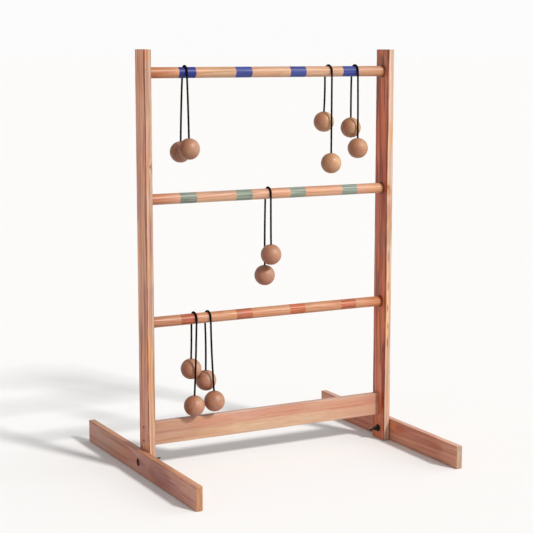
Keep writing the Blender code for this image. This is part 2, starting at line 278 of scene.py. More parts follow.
LOOKS["right_upright"] = dict(
    sap=(0.62, 0.45, 0.33), heart=(0.64, 0.195, 0.092), ring=(0.62, 0.43, 0.37), spacing=0.0068,
    pith=(-0.052, -0.016), lean=(0.008, 0.014), core=(-0.3, 0.0), heart_radius=0.2938, blur=0.0008,
    streaks=1.0, seed=8.0, knots=[((-8.5, 0, 462), 3.6)],
    marks=on_wide_face(
        (0, 450, (8, 40, 45), (84, 95, 105)), (-3, 452, (6, 7.5, 22), (50, 40, 38)),
        (21, 370, (6, 9, 80), (52, 44, 44)), (-2, 330, (8, 14, 90), (112, 102, 86)),
        (-11, 380, (6, 4.2, 50), (62, 52, 50)), (16, 180, (6, 4.5, 50), (50, 40, 40)),
        (6, 190, (6, 4, 40), (62, 50, 50)), (-6, 100, (8, 18, 60), (93, 92, 122)),
        (-15, 130, (6, 4.5, 40), (60, 46, 46)), (0, 20, (8, 16, 50), (86, 106, 125)),
        (8, -90, (6, 4.2, 50), (50, 40, 40)), (1, -85, (6, 3.6, 50), (116, 130, 160)),
        (-14, -110, (8, 10, 60), (105, 80, 70)), (0, -190, (8, 40, 80), (108, 110, 100)),
        (6, -150, (5, 3.4, 14), (50, 42, 42)), (-19, -250, (5, 5, 22), (52, 40, 40)),
        (0, -340, (8, 40, 70), (108, 116, 135))) + on_front_face(
        (-8, 470, (4, 8, 30), (62, 55, 50)), (2, 380, (20, 8, 120), (106, 112, 118)),
        (-2, 145, (9, 8, 20), (84, 68, 48)), (-4, 152, (2.6, 6, 5), (50, 36, 28)),
        (-3, 90, (9, 8, 35), (88, 76, 70)), (0, 35, (20, 8, 40), (82, 80, 66)),
        (-1, -20, (7, 8, 20), (78, 72, 82)), (-3, -170, (6, 8, 160), (110, 100, 76)),
        (-1, -100, (2.2, 6, 14), (48, 36, 30)), (-1.5, -150, (2, 6, 12), (52, 40, 34)),
        (-0.5, -190, (2, 6, 12), (48, 36, 30)), (-1, -235, (2.4, 6, 20), (45, 34, 28)),
        (0, -370, (20, 8, 50), (100, 93, 93))))
# On the left foot, the darker mark 40 mm to the front of the middle of its wide face is partly darker
# heartwood and partly painted shade; along its whole top the darker tint is painted shade, and the lighter
# tint at its front end a painted highlight.
LOOKS["left_foot"] = dict(
    sap=(0.56, 0.33, 0.24), heart=(0.515, 0.245, 0.18), ring=(0.84, 0.72, 0.7), spacing=0.009,
    pith=(-0.045, 0.004), lean=(0.02, 0.012), core=(-0.2, 0.0), heart_radius=0.1945, blur=0.003,
    streaks=0.15, seed=13.0, end=(0.74, 0.66, 0.47),
    marks=on_wide_face(
        (2, 100, (10, 12, 80), (102, 112, 92)), (0, -40, (10, 30, 70), (80, 75, 78)),
        (-6, -140, (10, 20, 100), (86, 80, 90)), (0, 230, (10, 40, 140), (98, 113, 112)),
        (16.5, 150, (6, 1.8, 130), (62, 50, 48)), (10, -160, (6, 2.4, 50), (74, 54, 58)),
        (2, -190, (6, 2.4, 50), (70, 52, 58)), (15, -125, (6, 2.2, 40), (74, 56, 60)),
        (-8, -270, (6, 1.8, 50), (62, 48, 44)), (0, -290, (10, 40, 70), (110, 120, 120)),
        (4, -120, (10, 40, 85), (74, 62, 60))) + [
        ((0, 28.5, 0), (30, 4, 500), (86, 74, 60)), ((0, 28.5, -250), (30, 4, 110), (126, 138, 140))])
LOOKS["right_foot"] = dict(
    sap=(0.58, 0.36, 0.26), heart=(0.545, 0.212, 0.132), ring=(0.84, 0.72, 0.68), spacing=0.0075,
    pith=(-0.06, 0.026), lean=(0.0, -0.03), core=(-0.2, 0.0), heart_radius=0.195, blur=0.003,
    streaks=0.15, seed=17.0, end=(0.7, 0.81, 0.78),
    marks=on_wide_face(
        (14, -35, (10, 12, 30), (125, 130, 90)), (14, -80, (10, 12, 30), (94, 76, 62)),
        (10, -220, (10, 14, 50), (94, 84, 80)), (11, -170, (6, 2.6, 100), (80, 66, 62)),
        (-5, -110, (10, 9, 170), (110, 124, 124)), (-20, -120, (10, 18, 240), (110, 132, 140)),
        (-10, -200, (6, 2.6, 80), (86, 76, 72)), (0, -300, (10, 40, 80), (112, 142, 148)),
        (0, 250, (10, 40, 100), (116, 150, 160))) + [
        ((0, 28.5, 0), (30, 4, 500), (120, 122, 130)), ((0, 28.5, -280), (30, 4, 80), (115, 125, 125))])
LOOKS["bottom_rail"] = dict(
    sap=(0.527, 0.36, 0.246), heart=(0.51, 0.3, 0.208), ring=(0.92, 0.86, 0.82), spacing=0.008,
    pith=(0.052, 0.02), lean=(0.01, -0.016), heart_radius=0.0635, blur=0.0007, streaks=0.06, seed=21.0,
    marks=[((0, 0, -310), (30, 50, 240), (82, 74, 75))] + on_wide_face(
        (16, -80, (10, 12, 120), (99, 95, 95)), (14, -270, (10, 16, 70), (102, 112, 106)),
        (-2, -130, (6, 1.4, 50), (90, 80, 76)), (12, 40, (6, 1.8, 70), (88, 76, 70)),
        (4, 200, (6, 1.6, 120), (86, 72, 66))) + [
        ((0, -10, 310), (30, 50, 200), (100, 86, 86)), ((0, 28.5, 0), (30, 4, 500), (108, 126, 145))])
# On each rung the first band, at the left end, is darker than the others: partly its stain, partly painted
# shade towards the left end, and on the top rung also the painted shadow of the bola hanging there.
LOOKS["top_rung"] = dict(
    sap=(0.53, 0.33, 0.205), heart=(0.475, 0.25, 0.147), ring=(0.8, 0.66, 0.56), spacing=0.0038,
    pith=(0.014, 0.01), lean=(0.03, 0.02), heart_radius=0.016, blur=0.004, streaks=0.3, seed=31.0,
    bands=[(0.11, 0.27, 0.64), (0.97, 1.0, 0.86), (0.97, 1.0, 0.78), (1.15, 1.1, 1.0)],
    marks=[
        ((0, 0, -310), (30, 30, 110), (97, 63, 38)), ((0, 0, -125), (30, 30, 55), (91, 103, 98)),
        ((0, 0, 310), (30, 30, 110), (96, 84, 78))])
LOOKS["middle_rung"] = dict(
    sap=(0.62, 0.4, 0.27), heart=(0.59, 0.335, 0.21), ring=(0.8, 0.64, 0.56), spacing=0.0042,
    pith=(-0.015, 0.008), lean=(-0.02, 0.03), heart_radius=0.018, blur=0.004, streaks=0.3, seed=36.0,
    bands=[(0.83, 0.81, 0.8), (0.94, 0.98, 0.97), (1.0, 1.0, 0.98), (0.98, 1.05, 1.08)],
    marks=[
        ((0, 0, -310), (30, 30, 100), (92, 68, 56)), ((0, 0, -110), (30, 30, 130), (87, 98, 100)),
        ((-4, 11, -100), (12, 10, 150), (100, 112, 128)), ((-4, 11, 55), (12, 9, 35), (88, 112, 132)),
        ((0, 0, 0), (30, 30, 70), (92, 88, 88)), ((0, 0, 310), (30, 30, 60), (102, 102, 86))])
LOOKS["bottom_rung"] = dict(
    sap=(0.5, 0.252, 0.135), heart=(0.455, 0.192, 0.095), ring=(0.8, 0.62, 0.5), spacing=0.004,
    pith=(0.012, -0.012), lean=(0.04, -0.02), heart_radius=0.017, blur=0.003, streaks=0.3, seed=39.0,
    bands=[(0.85, 0.76, 0.69), (0.88, 0.84, 0.84), (0.97, 0.92, 0.78), (1.0, 1.0, 1.0)],
    marks=[
        ((0, 0, -310), (30, 30, 110), (96, 86, 90)), ((0, 0, 310), (30, 30, 100), (100, 88, 70))])

BALL_LOOK = dict(
    ring=(0.82, 0.7, 0.64), spacing=0.004, pith=(0.045, 0.02), lean=(0.05, 0.0), heart_radius=0.048,
    blur=0.01, streaks=0.25, marks=[])
BALL_TONES = {
    "brown": dict(sap=(0.36, 0.186, 0.105), heart=(0.322, 0.147, 0.08), seed=41.0),
    "tan": dict(sap=(0.465, 0.256, 0.135), heart=(0.415, 0.208, 0.108), seed=46.0),
    "rosy": dict(sap=(0.39, 0.188, 0.113), heart=(0.347, 0.153, 0.087), seed=51.0),
}
BALL_WOODS = {
    "bola_1": "brown", "bola_2": "tan", "bola_3": "tan",
    "bola_4": "rosy", "bola_5": "rosy", "bola_6": "rosy"}
# The way the balls' painted highlight faces, towards the lights; their painted shade is on the far side.
BALL_PAINTED_LIGHT_SIDE = Vector((0.76, -0.5, 0.42))
BAND_STAINS = {"top": (0.022, 0.036, 0.255), "middle": (0.205, 0.235, 0.185), "bottom": (0.42, 0.11, 0.048)}
MARK_WAVER = Vector((0.005, 0.005, 0.05))


def wood(paint, along, centre, look):
    """Grain that runs along one axis, round a pith beside the board's middle.

    Hands back the wood's colour and its fine relief.
    """
    seed = look["seed"]
    x, y, z = [paint.math("SUBTRACT", p, c) for p, c in zip(paint.point(), centre)]
    a, b, length = {"X": (y, z, x), "Y": (x, z, y), "Z": (x, y, z)}[along]

    def grain(stretch, shift, scale, detail, output="Fac"):
        """Noise that is drawn out along the board, and shifted along it by the board's seed."""
        along_it = paint.scaled(length, stretch, seed * shift)
        return paint.noise(paint.join(a, b, along_it), scale, detail, output)

    # The rings' centre leans and wanders slowly along the board.
    drift = paint.parts("SeparateColor", grain(0.28, 3.7, 10.0, 2.0, "Color"))
    squares = []
    for across, offset, pith, lean in zip((a, b), drift, look["pith"], look["lean"]):
        shift = paint.scaled(length, -lean, -pith - 0.007)
        shift = paint.math("ADD", shift, paint.scaled(offset, 0.014))
        squares.append(paint.math("POWER", paint.math("ABSOLUTE", paint.math("ADD", across, shift)), 2.0))
    radius = paint.math("SQRT", paint.math("ADD", *squares))

    # They bulge round each knot and are never evenly spaced.
    cores = []
    for place, knot_radius in look.get("knots", []):
        off_a, off_b, off_length = [
            paint.math("SUBTRACT", p, middle * MM) for p, middle in zip((a, b, length), place)]
        distance = paint.length(off_a, off_b, paint.scaled(off_length, 0.45))
        knot_radius *= MM
        bulge = paint.step(distance, 0.0, knot_radius * 4, knot_radius * 1.3, 0.0)
        radius = paint.math("ADD", radius, bulge)
        cores.append(paint.step(distance, knot_radius * 0.35, knot_radius, 0.85, 0.0))
    uneven = paint.noise(paint.join(radius, seed, 0.0), 0.45 / look["spacing"], 1.0)
    count = paint.math("ADD", paint.math("DIVIDE", radius, look["spacing"]), paint.scaled(uneven, 1.6))

    # Growth rings: pale early wood that darkens outward, then a sharp return. No two are alike.
    ring = paint.math("FRACT", count)
    number = paint.math("ADD", paint.math("FLOOR", count), seed)
    own = paint.node("TexWhiteNoise", {"W": number}, noise_dimensions="1D")
    late = paint.math("MULTIPLY", paint.step(ring, 0.25, 0.92), paint.step(ring, 0.94, 1.0, 1.0, 0.0))
    late = paint.math("MULTIPLY", late, paint.scaled(own, 0.85, 0.15))

    patches = grain(0.25, 1.3, 30.0, 3.0)
    core_a, core_b = look.get("core", look["pith"])
    border = paint.length(paint.math("SUBTRACT", a, core_a), paint.math("SUBTRACT", b, core_b), 0.0)
    border = paint.math("ADD", border, paint.scaled(patches, 0.005, -0.0025))
    low, high = look["heart_radius"] - look["blur"], look["heart_radius"] + look["blur"]
    heartwood = paint.step(border, low, high, 1.0, 0.0)
    color = paint.mix(heartwood, look["sap"], look["heart"])
    color = paint.tinted(color, late, look["ring"])

    # Slow changes of tone and hue.
    color = paint.tinted(color, paint.step(patches, 0.36, 0.66), (0.98, 0.86, 0.82))
    hues = grain(0.3, 5.1, 38.0, 2.0)
    variety = min(1.0, 0.3 + 0.75 * look["streaks"])
    color = paint.tinted(color, paint.step(hues, 0.52, 0.66, 0.0, variety), (1.02, 0.98, 0.82))
    color = paint.tinted(color, paint.step(hues, 0.34, 0.47, variety, 0.0), (0.96, 0.93, 1.06))

    # Marks that belong to this board alone, their outlines a little unsteady.
    ripple = grain(0.15, 1.0, 70.0, 3.0, "Color")
    spot = paint.vector("MULTIPLY_ADD", ripple, MARK_WAVER, paint.join(a, b, length))
    for middle, half, tint in look["marks"]:
        middle = Vector(middle) * MM + MARK_WAVER / 2
        shrink = Vector([1 / (h * MM) for h in half])
        offset = paint.vector("MULTIPLY_ADD", spot, shrink, -middle * shrink)
        inside = paint.step(paint.vector("LENGTH", offset, output="Value"), 0.4, 1.0, 1.0, 0.0)
        color = paint.tinted(color, inside, [percent / 100 for percent in tint])

    # Dark streaks, broad and narrow, then fine fibres and short dark pores along the grain.
    strength = paint.scaled(heartwood, 0.6 * look["streaks"], 0.4 * look["streaks"])
    broad = paint.math("MULTIPLY", paint.step(grain(0.035, 2.9, 120.0, 3.0), 0.5, 0.64), strength)
    color = paint.tinted(color, broad, (0.66, 0.5, 0.44))
    narrow = paint.step(grain(0.016, 4.3, 330.0, 2.0), 0.54, 0.68)
    narrow = paint.math("MULTIPLY", narrow, paint.scaled(strength, 0.6, 0.3))
    color = paint.tinted(color, narrow, (0.6, 0.44, 0.37))
    fibres = grain(0.02, 1.0, 1100.0, 3.0)
    color = paint.tinted(color, paint.step(fibres, 0.3, 0.62, 1.0, 0.0), (0.86, 0.8, 0.77))
    pores = grain(0.05, 2.1, 620.0, 1.0)
    color = paint.tinted(color, paint.step(pores, 0.66, 0.76, 0.0, 0.45), (0.52, 0.38, 0.32))
    for core in cores:
        color = paint.mix(core, color, (0.2, 0.075, 0.036))
    relief = paint.math("ADD", paint.scaled(fibres, 0.6), paint.scaled(late, 0.5))
    return color, relief


def painted_edge_shade(paint, color, box, strength):
    """Painted shade along the edges: darkens the outer strips of the board's wide faces, unevenly along the
    board.
    """
    size = [high - low for low, high in zip(*box)]
    thickness, width, _ = sorted(range(3), key=lambda axis: size[axis])
    point = paint.point()
    strips = []
    for axis, near, far in ((thickness, 0.0018, 0.0004), (width, 0.0075, 0.0008)):
        half = size[axis] / 2
        offset = paint.apart(point[axis], (box[0][axis] + box[1][axis]) / 2)
        strips.append(paint.step(offset, half - near, half - far))
    uneven = paint.step(paint.noise(paint.place(), 26.0, 4.0), 0.34, 0.6, 0.25 * strength, strength)
    edge = paint.math("MULTIPLY", paint.math("MULTIPLY", *strips), uneven)
    return paint.tinted(color, edge, (0.4, 0.27, 0.22))


def painted_socket_shade(paint, color, inner):
    """Painted shade: darkens the inner face in a narrow ring round each rung, where it meets the upright.
    """
    x, y, z = paint.point()
    face = paint.step(paint.math("ABSOLUTE", x), inner + 0.0004, inner + 0.003, 1.0, 0.0)
    for height in RUNG_HEIGHTS.values():
        distance = paint.length(0.0, y, paint.math("SUBTRACT", z, height))
        near = paint.step(distance, RUNG_RADIUS + 0.0008, RUNG_RADIUS + 0.0034, 1.0, 0.0)
        color = paint.tinted(color, paint.math("MULTIPLY", near, face), (0.3, 0.18, 0.14))
    return color


def painted_hole_shade(paint, color, radius, depth_from):
    """Painted shade: darkens the walls of the counterbore and bore along X at the foot bolt, deeper in than
    one x.
    """
    x, y, z = paint.point()
    up = paint.math("SUBTRACT", z, BOLT_HEIGHT)
    square = paint.math("ADD", paint.math("MULTIPLY", y, y), paint.math("MULTIPLY", up, up))
    near = paint.step(square, radius ** 2, (radius + 0.0008) ** 2, 1.0, 0.0)
    deep = paint.step(paint.math("ABSOLUTE", x), depth_from - 0.0004, depth_from, 1.0, 0.0)
    return paint.mix(paint.math("MULTIPLY", near, deep), color, (0.095, 0.036, 0.021))


def board_material(name, along, box):
    centre = [(low + high) / 2 for low, high in zip(*box)]
    paint = Paint(name + "_wood", {SPECULAR: 0.3})
    color, relief = wood(paint, along, centre, LOOKS[name])
    inner, outer = reach(name)
    # Painted shade: on the uprights along the edges and round the rungs, on the feet a little along the
    # edges and in the bolt's counterbore.
    if name.endswith("upright"):
        color = painted_edge_shade(paint, color, box, 0.95)
        color = painted_socket_shade(paint, color, inner)
    elif name.endswith("foot"):
        color = painted_edge_shade(paint, color, box, 0.35)
        half_length = (box[1][1] - box[0][1]) / 2
        from_middle = paint.apart(paint.point()[1], centre[1])
        cut = paint.step(from_middle, half_length - 0.0016, half_length - 0.0006)
        color = paint.tinted(color, cut, LOOKS[name]["end"])
        color = painted_hole_shade(paint, color, COUNTERBORE_RADIUS + 0.0004, outer - 0.0002)
    return paint.finish(color, relief, (0.2, 0.9, 0.42, 0.58), 0.0004, 0.7)


def rung_material(rung):
    """Sealed dowel with four stained bands, through which the grain still shows."""
    name = rung + "_rung"
    paint = Paint(name + "_wood", {SPECULAR: 0.45})
    color, relief = wood(paint, "X", (0, 0, RUNG_HEIGHTS[rung]), LOOKS[name])
    x, y, z = paint.point()
    ragged, stripes = [
        paint.noise(paint.join(paint.scaled(x, stretch), y, z), 420.0, 2.0) for stretch in (0.2, 0.03)]
    edge_x = paint.math("ADD", x, paint.scaled(ragged, 0.0012, -0.0006))
    phase = paint.math("FRACT", paint.scaled(edge_x, 1 / BAND_PITCH))
    off_centre = paint.scaled(paint.apart(phase, 0.5), BAND_PITCH)
    band = paint.step(off_centre, BAND_WIDTH / 2 - 0.0002, BAND_WIDTH / 2 + 0.0002, 1.0, 0.0)
    dark = [0.55 * c for c in BAND_STAINS[rung]]
    light = [min(1.0, 1.3 * c + 0.012) for c in BAND_STAINS[rung]]
    stain = paint.mix(paint.step(stripes, 0.3, 0.7), light, dark)
    for number, tint in enumerate(LOOKS[name]["bands"]):
        off_band = paint.apart(x, (number - 1.5) * BAND_PITCH)
        here = paint.step(off_band, BAND_PITCH * 0.4, BAND_PITCH * 0.5, 1.0, 0.0)
        stain = paint.tinted(stain, here, tint)
    color = paint.mix(band, color, stain)
    # Painted shade where the rungs enter the uprights: the last 7 mm of each end darker and redder.
    inner = reach("left_upright")[0]
    from_end = paint.math("SUBTRACT", inner, paint.math("ABSOLUTE", x))
    color = paint.tinted(color, paint.step(from_end, 0.0, 0.007, 1.0, 0.0), (0.58, 0.38, 0.32))
    # Painted shade towards each rung's left end, the side away from the light.
    color = paint.tinted(color, paint.step(x, -inner, 0.14 - inner, 1.0, 0.0), (0.8, 0.8, 0.8))
    return paint.finish(color, relief, (0.2, 0.9, 0.4, 0.52), 0.0002, 0.6)


def ball_material(tone):
    """Oiled turned wood, its grain across the bore, with painted shade, darker and redder, on the side away
    from the light, and a painted highlight, creamier, on the lit side.
    """
    plain = {SPECULAR: 0.6, "Coat Weight": 0.2, "Coat Roughness": 0.42}
    paint = Paint(f"ball_wood_{tone}", plain)
    color, relief = wood(paint, "X", (0, 0, 0), BALL_LOOK | BALL_TONES[tone])
    # Painted shade and painted highlight: darker and redder away from the light, creamier towards it.
    painted_light_facing = paint.node("Attribute", {}, output="Fac", attribute_name="painted_light_facing")
    color = paint.tinted(color, paint.step(painted_light_facing, -0.85, 0.55, 1.0, 0.0), (0.68, 0.53, 0.43))
    color = paint.tinted(color, paint.step(painted_light_facing, 0.3, 0.95), (1.14, 1.38, 1.46))
    return paint.finish(color, relief, (0.2, 0.9, 0.5, 0.62), 0.00012, 0.6)


def cord_material():
    """Black polyester braid: dull, with a faint sheen and slightly paler worn fibres."""
    paint = Paint("cord_braid", {"Roughness": 0.9, SPECULAR: 0.08})
    fuzz = paint.noise(paint.place(), 2600.0, 2.0)
    wear = paint.noise(paint.place(), 160.0, 2.0)
    color = paint.mix(paint.step(fuzz, 0.35, 0.7), (0.0015, 0.0012, 0.002), (0.006, 0.005, 0.007))
    color = paint.mix(paint.step(wear, 0.5, 0.75, 0.0, 0.4), color, (0.012, 0.01, 0.013))
    return paint.finish(color, fuzz, None, 0.0001, 0.6)


def black_metal_material():
    """Black plated steel with a fine grain and faint rubbed patches."""
    paint = Paint("black_plated_steel", {"Metallic": 0.7, SPECULAR: 0.5})
    fine, patches = paint.noise(paint.place(), 1500.0, 3.0), paint.noise(paint.place(), 220.0, 3.0)
    rubbed = paint.step(patches, 0.55, 0.75, 0.0, 0.5)
    color = paint.mix(rubbed, (0.016, 0.017, 0.018), (0.055, 0.055, 0.055))
    return paint.finish(color, fine, (0.3, 0.7, 0.34, 0.5), 0.00005, 0.5)


def bolt_metal_material():
    """Brown-black oxide on the sunk bolts, dull with old finish."""
    paint = Paint("oxide_black_steel", {"Metallic": 0.25, SPECULAR: 0.25})
    fine, patches = paint.noise(paint.place(), 1200.0, 3.0), paint.noise(paint.place(), 260.0, 3.0)
    color = paint.mix(paint.step(patches, 0.4, 0.65), (0.04, 0.017, 0.011), (0.085, 0.036, 0.023))
    return paint.finish(color, fine, (0.3, 0.7, 0.55, 0.75), 0.00005, 0.5)


def zinc_material():
    """Yellowed zinc plate, dark and dull."""
    paint = Paint("zinc_plated_steel", {"Metallic": 0.85})
    fine = paint.noise(paint.place(), 900.0, 3.0)
    color = paint.mix(paint.step(fine, 0.3, 0.7), (0.13, 0.105, 0.075), (0.24, 0.2, 0.15))
    return paint.finish(color, fine, (0.3, 0.7, 0.32, 0.5), None, None)


# ---- meshes

def finished(name, mesh, material, body, nodes, angle=35):
    """Puts a mesh on a body as the visible piece that stands for the CAD nodes."""
    mesh.shade_smooth()
    mesh.set_sharp_from_angle(angle=math.radians(angle))
    piece = linked(name, mesh)
    mesh.materials.clear()
    mesh.materials.append(material)
    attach(piece, body)
    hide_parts(*nodes)
    return piece


def drawn_mesh(name, drawing):
    mesh = bpy.data.meshes.new(name)
    drawing.to_mesh(mesh)
    drawing.free()
    return mesh


def applied(helper):
    """A helper object's mesh with its modifiers applied. The helper itself goes."""
    graph = bpy.context.evaluated_depsgraph_get()
    mesh = bpy.data.meshes.new_from_object(helper.evaluated_get(graph))
    bpy.data.objects.remove(helper)
    return mesh


def combined(mesh, others, operation):
    """A mesh with others cut from it or joined to it. Each of the others is (mesh, matrix)."""
    base = linked("base", mesh)
    helpers = []
    for tool, matrix in others:
        helper = linked("tool", tool)
        helper.matrix_world = matrix
        modifier = base.modifiers.new("combine", "BOOLEAN")
        modifier.operation = operation
        modifier.object = helper
        helpers.append(helper)
    result = applied(base)
    for helper in helpers:
        bpy.data.objects.remove(helper)
    return result


def arc(centre_radius, centre_height, radius, start, end, steps):
    """Points of a circular arc in a profile, from one angle in degrees to another."""
    angles = [math.radians(start + (end - start) * step / steps) for step in range(steps + 1)]
    return [(centre_radius + radius * math.cos(a), centre_height + radius * math.sin(a)) for a in angles]


def turned_mesh(name, profile, steps, closed=False):
    """A profile of (radius, height) points, turned about Z. It runs down its outer side."""
    outline = bpy.data.meshes.new(name)
    count = len(profile)
    edges = [(i, (i + 1) % count) for i in range(count if closed else count - 1)]
    outline.from_pydata([(radius, 0, height) for radius, height in profile], edges, [])
    helper = linked(name, outline)
    screw = helper.modifiers.new("turn", "SCREW")
    screw.steps = steps
    screw.render_steps = steps
    screw.use_merge_vertices = True
    screw.merge_threshold = 0.00001
    mesh = applied(helper)
    mesh.name = name
    return mesh


def outward(side, x=0, y=0, z=0):
    """Moves a shape to a spot, its own +Z turned to the outside of the frame, on side -1 or +1."""
    return Matrix.Translation((x, y, z)) @ Matrix.Rotation(side * math.pi / 2, 4, "Y")


def wander(seed, pitch):
    """A function of place: a vector that drifts smoothly between -1 and 1, over about one pitch."""
    chance = random.Random(seed)
    waves = []
    for _ in range(9):
        direction = Vector([chance.uniform(-1, 1) for _ in range(3)])
        waves.append((direction * 2 * math.pi / pitch, chance.uniform(0, 2 * math.pi)))
    return lambda place: Vector([
        sum(math.sin(place.dot(wave) + phase) for wave, phase in waves[axis::3]) / 3
        for axis in range(3)])


def plank_mesh(name, box, long_axis, seed, end_edge):
    """A planed board, its edges eased and wandering by a tenth of a millimetre or two.

    Its two ends have an easing of their own, nearly nothing where an end butts on another board.
    """
    low, high = box
    size = high - low
    drawing = bmesh.new()
    bmesh.ops.create_cube(drawing, size=1.0, matrix=Matrix.Diagonal((*size, 1.0)))
    half = size[long_axis] / 2
    long_edges = [e for e in drawing.edges
                  if abs(e.verts[0].co[long_axis] - e.verts[1].co[long_axis]) > half]
    cuts = round(size[long_axis] / 0.02)
    bmesh.ops.subdivide_edges(drawing, edges=long_edges, cuts=cuts, use_grid_fill=True)
    sharp = [e for e in drawing.edges if e.calc_face_angle(0) > 1.0]
    bmesh.ops.bevel(
        drawing, geom=sharp, offset=BOARD_EDGE, segments=4, profile=0.5, affect="EDGES",
        clamp_overlap=True)
    for vertex in drawing.verts:
        beyond = abs(vertex.co[long_axis]) - (half - BOARD_EDGE)
        if 0 < beyond:
            inset = (BOARD_EDGE - beyond) * end_edge / BOARD_EDGE
            vertex.co[long_axis] = math.copysign(half - inset, vertex.co[long_axis])
    wave, ripple = wander(seed, 0.07), wander(seed + 0.5, 0.018)
    for vertex in drawing.verts:
        drift = wave(vertex.co) * 0.00014 + ripple(vertex.co) * 0.00006
        vertex.co += Vector([-math.copysign(abs(w), c) for w, c in zip(drift, vertex.co)])
    drawing.transform(Matrix.Translation((low + high) / 2))
    return drawn_mesh(name, drawing)


def bore_mesh(name, radius, depth, chamfer):
    """A cutter for a hole whose mouth, at height 0, has a small chamfer."""
    above = 0.004
    profile = [(0, above), (radius + chamfer, above), (radius + chamfer, 0.0),
               (radius, -chamfer), (radius, -depth), (0, -depth)]
    return turned_mesh(name, profile, 48)


def smooth_route(points, spacing):
    """Points about one spacing apart, on a smooth curve through the given ones."""
    padded = [2 * points[0] - points[1], *points, 2 * points[-1] - points[-2]]
    route = []
    for before, start, end, after in zip(padded, padded[1:], padded[2:], padded[3:]):
        count = max(2, round((end - start).length / spacing))
        for step in range(count):
            t = step / count
            drift = (end - before) * t + (2 * before - 5 * start + 4 * end - after) * t * t
            curl = (3 * (start - end) + after - before) * t ** 3
            route.append(start + (drift + curl) / 2)
    route.append(points[-1])
    return route


def braid_height(along, around, carriers):
    """Relief from 0 to 1 of a round braid. One turn around is 1, one crossing along is 1."""
    right = around * carriers + along
    left = around * carriers - along
    over = (math.floor(right) + math.floor(left)) % 2 == 0
    strand = left if over else right
    return math.sin(math.pi * (strand % 1.0)) ** 0.6


def braid_tube(drawing, route, radius, closed=False):
    """Adds a braided tube along a route to a bmesh, capped at both ends unless closed."""
    sides, carriers, relief, crossing = 20, 5, 0.00034, 0.0022
    up = Vector((1, 0, 0))
    travelled = 0.0
    rings = []
    count = len(route)
    for index, spot in enumerate(route):
        if closed:
            ahead, behind = route[(index + 1) % count], route[index - 1]
        else:
            ahead, behind = route[min(index + 1, count - 1)], route[max(index - 1, 0)]
        direction = (ahead - behind).normalized()
        up = (up - direction * up.dot(direction)).normalized()
        side = direction.cross(up)
        if index:
            travelled += (spot - route[index - 1]).length
        ring = []
        for corner in range(sides):
            turn = corner / sides
            lift = relief * (braid_height(travelled / crossing, turn, carriers) - 0.3)
            angle = 2 * math.pi * turn
            offset = (up * math.cos(angle) + side * math.sin(angle)) * (radius + lift)
            ring.append(drawing.verts.new(spot + offset))
        rings.append(ring)
    pairs = list(zip(rings, rings[1:]))
    if closed:
        pairs.append((rings[-1], rings[0]))
    for first, second in pairs:
        for corner in range(sides):
            after = (corner + 1) % sides
            drawing.faces.new((first[corner], first[after], second[after], second[corner]))
    if not closed:
        for ring, middle in ((rings[0][::-1], route[0]), (rings[-1], route[-1])):
            tip = drawing.verts.new(middle)
            for corner in range(sides):
                drawing.faces.new((ring[corner], ring[(corner + 1) % sides], tip))


# ---- bolas

def bola_side(bola, side):
    """The ball's centre, the way up its string, where that meets the rung, and its bow."""
    rung, out, front, back = BOLAS[bola]
    x, drop, rung_x, bow = front if side < 0 else back
    centre = Vector((x, side * out, RUNG_HEIGHTS[rung] - drop))
    tangent = Vector((rung_x, side * CORD_LOOP_RADIUS, RUNG_HEIGHTS[rung]))
    return centre, (tangent - centre).normalized(), tangent, bow


def string_route(bola, side):
    """One string's own points, from its knot up to just below the side of the rung."""
    centre, up, tangent, bow = bola_side(bola, side)
    start = centre + up * BALL_RADIUS
    points = [centre - up * KNOT_RECESS_FLOOR, centre, start]
    for part in (0.25, 0.5, 0.75):
        sway = Vector((bow * math.sin(math.pi * part), 0, 0))
        points.append(start.lerp(tangent, part) + sway)
    return points


def cord_route(bola):
    """The whole cord's own points: up the front string, over the rung and down the back one."""
    front, back = [bola_side(bola, side)[2] for side in ENDS.values()]
    loop = []
    for degrees in range(0, 181, 30):
        angle = math.radians(degrees)
        spot = front.lerp(back, degrees / 180)
        spot.y = -CORD_LOOP_RADIUS * math.cos(angle)
        spot.z += CORD_LOOP_RADIUS * math.sin(angle)
        loop.append(spot)
    return string_route(bola, -1) + loop + string_route(bola, 1)[::-1]


def ball_mesh():
    """A ball bored along Z, its bore eased at the top and opened out for the knot below."""
    ease = 0.0005
    top = math.degrees(math.acos((BALL_BORE_RADIUS + ease) / BALL_RADIUS))
    bottom = -math.degrees(math.acos((KNOT_RECESS_RADIUS + ease) / BALL_RADIUS))
    profile = arc(0, 0, BALL_RADIUS, top, bottom, 40)
    foot = profile[-1][1]
    profile += [(KNOT_RECESS_RADIUS, foot + ease), (KNOT_RECESS_RADIUS, -KNOT_RECESS_FLOOR),
                (BALL_BORE_RADIUS, -KNOT_RECESS_FLOOR), (BALL_BORE_RADIUS, profile[0][1] - ease)]
    return turned_mesh("ball", profile, 64, closed=True)


def knot_mesh():
    """An overhand knot drawn up tight, with a short sealed tail below it."""
    drawing = bmesh.new()
    tube = 0.00155
    scale = (KNOT_RADIUS + 0.0003 - tube) / 3
    turn = []
    for step in range(110):
        t = 2 * math.pi * step / 110
        x = math.sin(t) + 2 * math.sin(2 * t)
        y = math.cos(t) - 2 * math.cos(2 * t)
        turn.append(Vector((x * scale, y * scale, -math.sin(3 * t) * 0.0017)))
    braid_tube(drawing, turn, tube, closed=True)
    tail = [Vector((0.0002 * step, 0.0, -0.0005 - 0.0007 * step)) for step in range(9)]
    braid_tube(drawing, tail, tube)
    return drawn_mesh("knot", drawing)


